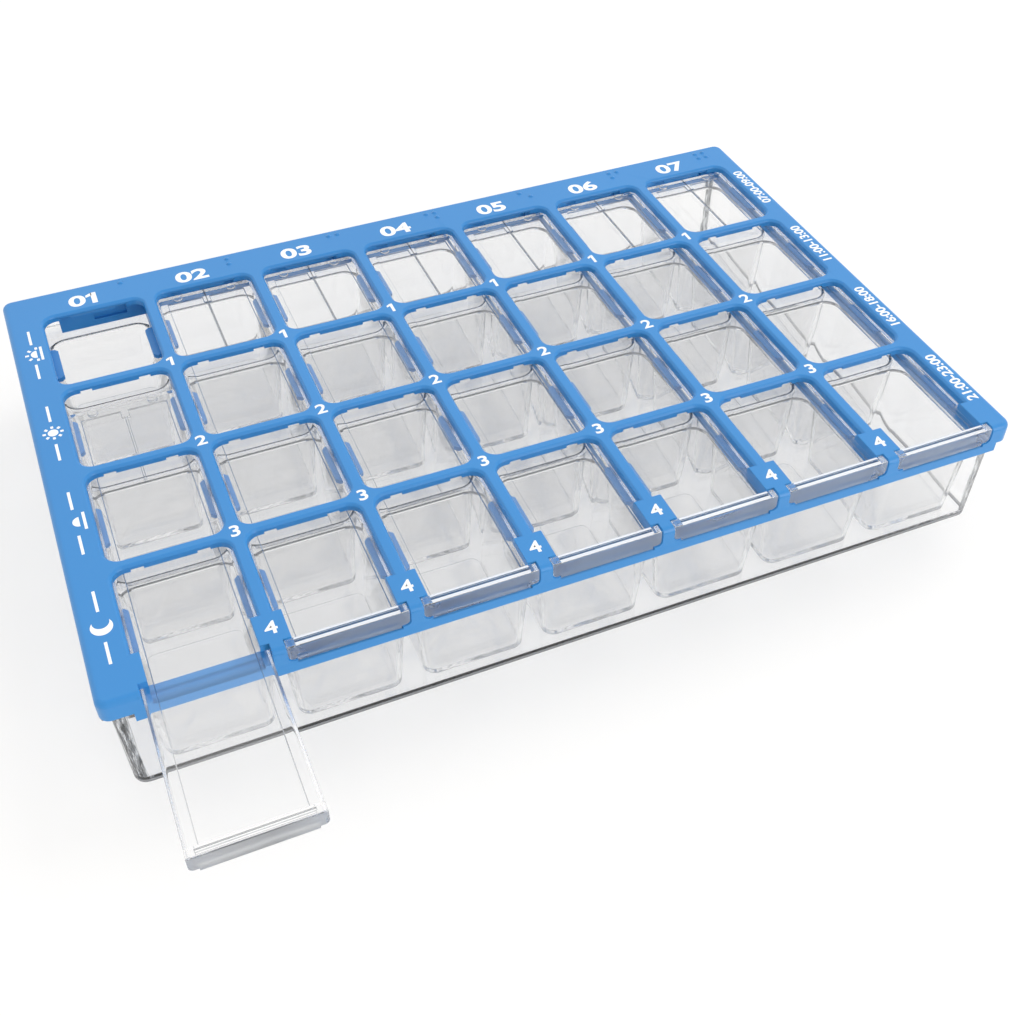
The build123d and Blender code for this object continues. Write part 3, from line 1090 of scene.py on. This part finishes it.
@dataclass
class FramePrint:
    """White print on the frame's top: numbers for the days, row figures on the bars, hours in the
    right margin and sun and moon signs in the left one."""

    grid: Grid
    row_tree: NodeTree
    finish: Material
    film: float = 0.03
    sunk: float = 0.06
    day_type: Lettering = Lettering(5.3, wide=1.35, heavy=0.03)
    day_shift: float = -1.8
    day_line: float = 68.3
    bar_type: Lettering = Lettering(3.7, wide=1.15, heavy=0.02)
    bar_first: float = -75.8
    bar_pitch: float = 31.0
    bar_lines: tuple[float, ...] = (31.2, -3.1, -37.3, -68.8)
    hour_type: Lettering = Lettering(3.0, wide=1.05, heavy=0.025)
    hour_line: float = 111.2
    hours: tuple[str, ...] = ("07:00-09:00", "11:00-13:00", "16:00-18:00", "21:00-23:00")
    signs: SignDrawing = SignDrawing()
    sign_line: float = -109.4

    def place(self, name: str, bm: BMesh, spot: tuple[float, float] = (0.0, 0.0),
              turned: bool = False) -> None:
        """Move a flat shape into place, give it its film and settle it on the case.

        Args:
            name: the piece's name.
            bm: flat faces.
            spot: how far it is moved along X and Y, in millimetres.
            turned: whether it is first turned to read away from the front.
        """
        if turned:
            bmesh.ops.rotate(bm, verts=bm.verts, matrix=Matrix.Rotation(math.pi / 2, 3, "Z"))
        bmesh.ops.translate(bm, verts=bm.verts, vec=Vector((*spot, 0)) * MM)
        self.thicken(bm)
        settle(show(name, bm, self.finish), CASE)

    def thicken(self, bm: BMesh) -> None:
        """Give a flat shape the thickness of print, with its underside in the plate.

        Args:
            bm: flat faces at height 0.
        """
        for vert in bm.verts:
            vert.co.z = (self.grid.frame_top + self.film) * MM
        for face in bm.faces:
            face.normal_update()
            if face.normal.z < 0:
                face.normal_flip()
        tops = bm.faces[:]
        rims = [(loop.vert, loop.link_loop_next.vert) for face in tops for loop in face.loops
                if loop.edge.is_boundary]
        low = (self.grid.frame_top - self.sunk) * MM
        under = {vert: bm.verts.new((vert.co.x, vert.co.y, low)) for vert in bm.verts[:]}
        for face in tops:
            bm.faces.new([under[vert] for vert in face.verts[:][::-1]])
        for here, after in rims:
            bm.faces.new((after, here, under[here], under[after]))

    def day_numbers(self) -> None:
        """Print a two-figure number behind each column."""
        for number, day in enumerate(Day, 1):
            self.place(f"print_day_{number}", self.day_type.shape(f"0{number}"),
                       (self.grid.column_x(day) + self.day_shift, self.day_line))

    def bar_numbers(self) -> None:
        """Print each row's figure on the six bars between the columns."""
        for row, line in enumerate(self.bar_lines):
            flat = self.bar_type.shape(str(row + 1))
            mesh = bpy.data.meshes.new("bar_figure")
            flat.to_mesh(mesh)
            flat.free()
            joined = in_row(self.row_tree, mesh, len(Day) - 1,
                            Vector((self.bar_first, line, 0)) * MM,
                            Vector((self.bar_pitch, 0, 0)) * MM, self.finish)
            bm = bmesh.new()
            bm.from_mesh(joined)
            self.place(f"print_row_{row + 1}", bm)

    def margins(self) -> None:
        """Print each row's hours in the right margin, and then each row's sign in the left one, its
        top towards the edge."""
        for row, text in enumerate(self.hours):
            self.place(f"print_hours_{row + 1}", self.hour_type.shape(text),
                       (self.hour_line, self.grid.row_y(row)), turned=True)
        for kind in Sign:
            self.place(f"print_sign_{kind.name.lower()}", self.signs.shape(kind),
                       (self.sign_line, self.grid.row_y(kind.value)), turned=True)

    def build(self) -> None:
        """Print everything on the frame."""
        self.day_numbers()
        self.bar_numbers()
        self.margins()


@dataclass
class Lamp:
    """One large soft studio lamp."""

    name: str
    place: tuple[float, float, float]
    size: float
    power: float
    # Whether gloss mirrors it
    mirrored: bool
    aim: tuple[float, float, float] = (0.0, 0.0, 0.02)

    def build(self) -> None:
        """Hang the lamp and turn it to its aim."""
        light = bpy.data.lights.new(self.name, "AREA")
        light.shape = "DISK"
        light.size = self.size
        light.energy = self.power
        lamp = put(self.name, light)
        lamp.location = self.place
        way = Vector(self.aim) - Vector(self.place)
        lamp.rotation_euler = way.to_track_quat("-Z", "Y").to_euler()
        lamp.visible_glossy = self.mirrored
        lamp.visible_transmission = False


@dataclass
class Studio:
    """Floor, soft dome and lamps round the organizer."""

    floor_reach: float = 6.0
    floor_drop: float = 0.2
    dome_low: float = 0.55
    dome_high: float = 0.76
    # Share of the dome's height that is dimmer, round its foot
    dim: float = 0.3
    # How much brighter the dome is behind the organizer
    back_gain: float = 1.2

    def floor(self) -> None:
        """Lay the white paper just under the tray."""
        bm = bmesh.new()
        bmesh.ops.create_grid(bm, x_segments=4, y_segments=4, size=self.floor_reach / 2)
        bmesh.ops.translate(bm, verts=bm.verts, vec=(0, 0, -self.floor_drop * MM))
        show("studio_floor", bm, PaperFloor().build())

    def dome(self) -> None:
        """Light the set from a dome that is dimmer round its foot and brighter behind the organizer,
        and that the camera sees, also in gloss and through clear plastic, as plain white."""
        world = bpy.data.worlds.new("soft_dome")
        world.use_nodes = True
        tree = world.node_tree
        tree.nodes.clear()
        way = add(tree, "ShaderNodeTexCoord").outputs["Generated"]
        sides = add(tree, "ShaderNodeSeparateXYZ", {"Vector": way}).outputs
        glow = add(tree, "ShaderNodeMapRange",
                   {"Value": sides["Z"], "From Max": self.dim, "To Min": self.dome_low,
                    "To Max": self.dome_high}, interpolation_type="SMOOTHSTEP")
        gain = add(tree, "ShaderNodeMapRange",
                   {"Value": sides["Y"], "To Min": 1.0, "To Max": 1.0 + self.back_gain})
        level = add(tree, "ShaderNodeMath", {0: glow.outputs["Result"], 1: gain.outputs["Result"]},
                    operation="MULTIPLY")
        light = add(tree, "ShaderNodeBackground",
                    {"Color": linear(WHITE), "Strength": level.outputs[0]})
        white = add(tree, "ShaderNodeBackground", {"Color": linear(WHITE), "Strength": 1.0})
        both = add(tree, "ShaderNodeMixShader",
                   {0: seen_share(tree), 1: light.outputs["Background"], 2: white.outputs["Background"]})
        add(tree, "ShaderNodeOutputWorld", {"Surface": both.outputs["Shader"]})
        bpy.context.scene.world = world

    def build(self) -> None:
        """Set up the floor and all the light."""
        self.floor()
        self.dome()
        Lamp("key_softbox", (0.95, 0.45, 1.05), size=0.9, power=5.0, mirrored=False).build()
        Lamp("fill_softbox", (0.6, -1.2, 0.5), size=1.0, power=6.5, mirrored=True).build()


@dataclass
class PhotoCamera:
    """The camera that took the picture, solved from the grid of windows."""

    place: tuple[float, float, float] = (-96.9, -253.8, 246.5)
    heading: float = 22.47
    dip: float = 44.75
    roll: float = -0.178
    lens: float = 45.643
    sensor: float = 36.0
    near: float = 10.0

    def build(self) -> None:
        """Set the camera up and make it the scene's own."""
        data = bpy.data.cameras.new("photo_camera")
        data.lens = self.lens
        data.sensor_width = self.sensor
        data.clip_start = self.near * MM
        camera = put("photo_camera", data)
        camera.location = Vector(self.place) * MM
        heading, dip = math.radians(self.heading), math.radians(self.dip)
        way = Vector((math.sin(heading) * math.cos(dip), math.cos(heading) * math.cos(dip),
                      -math.sin(dip)))
        turn = way.to_track_quat("-Z", "Y") @ Quaternion((0, 0, 1), math.radians(self.roll))
        camera.rotation_euler = turn.to_euler()
        bpy.context.scene.camera = camera


def set_light_paths() -> None:
    """Let light through as many clear walls as the tubs, lids and tray stack up."""
    scene = bpy.context.scene
    scene.view_settings.view_transform = "Standard"
    scene.cycles.max_bounces = 96
    scene.cycles.transmission_bounces = 96
    scene.cycles.glossy_bounces = 48
    scene.cycles.transparent_max_bounces = 64


def main() -> None:
    """Build and dress every piece in order."""
    logging.basicConfig(level=logging.INFO, format="%(name)s: %(message)s")
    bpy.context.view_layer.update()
    set_light_paths()
    PhotoCamera().build()
    Studio().build()
    grid = Grid()
    row_tree = repeat_tree()
    lid_clear = ClearPolystyrene("clear_polystyrene_lid").build()
    # Greyer than the same plastic of the lids and the tray: the extra grey is painted shade inside the
    # tubs
    tub_clear = ClearPolystyrene("clear_polystyrene_tub", "#F8F8F8", "#F8F8F8",
                                 flow_mm=(12.0, 12.0, 40.0)).build()
    tray_clear = ClearPolystyrene("clear_polystyrene_tray", roughness=0.01, flow_mm=(40.0, 40.0, 16.0),
                                  flow_height_mm=0.001).build()
    # Painted streaks, dark and pale, for the light that the tray's rounded corners bend
    tray_corner = ClearPolystyrene("clear_polystyrene_corner", "#DCDFE1", streak="#4A4D50",
                                   flow_mm=(0.6, 0.6, 5.0), flow_height_mm=0.5).build()
    # Painted shade: a near-black line along the front of each tub's rim
    rim_line = ClearPolystyrene("clear_polystyrene_rim", "#202327", "#F4F4F4").build()
    # Painted shade: a dark grey line for the tubs' back rims and feet, the tray's edges and the lids'
    # rib and groove
    edge_line = ClearPolystyrene("clear_polystyrene_foot", "#5A5E63", "#F4F4F4").build()
    # Painted shade: a grey line on the lids' rounded edges
    lid_line = ClearPolystyrene("clear_polystyrene_lid_edge", "#B4B7BA", "#F8F8F8").build()
    # Painted highlight: a whitened, partly opaque copy for the lips' ridges and the bosses' sides
    ridge_line = ClearPolystyrene("clear_polystyrene_ridge", clear=0.3).build()
    # The lips' fronts are matt where fingers push them, with colours that paint in what shows through:
    # the frame's blue behind the closed lids, pale grey for the pulled-out one
    lip_matt = ClearPolystyrene("clear_polystyrene_grip", "#9AABC2", "#F8F8F8",
                                roughness=0.4).build()
    lip_pale = ClearPolystyrene("clear_polystyrene_grip_pale", "#B8BABD", "#F8F8F8",
                                roughness=0.4).build()
    # Painted grey band for the tray's floor edge as it reads through the walls
    floor_edge = ClearPolystyrene("clear_polystyrene_floor_edge", "#999B9E", "#F4F4F4",
                                  clear=0.3).build()
    BlueFrame(MouldedAbs().build()).build()
    ClearTray(tray_clear, edge_line, floor_edge, tray_corner).build()
    for day in Day:
        TubStrip(day, grid, row_tree, tub_clear, rim_line, edge_line).build()
        # The pulled-out lid lies over white, so it gets no painted lines and the pale painted grip
        pulled = day is Day.SUNDAY
        SlidingLid(day, lid_clear, lid_line, ridge_line, edge_line, lip_pale if pulled else lip_matt,
                   marked=not pulled).build()
    FramePrint(grid, row_tree, PadPrint().build()).build()


if __name__ == "__main__":
    main()
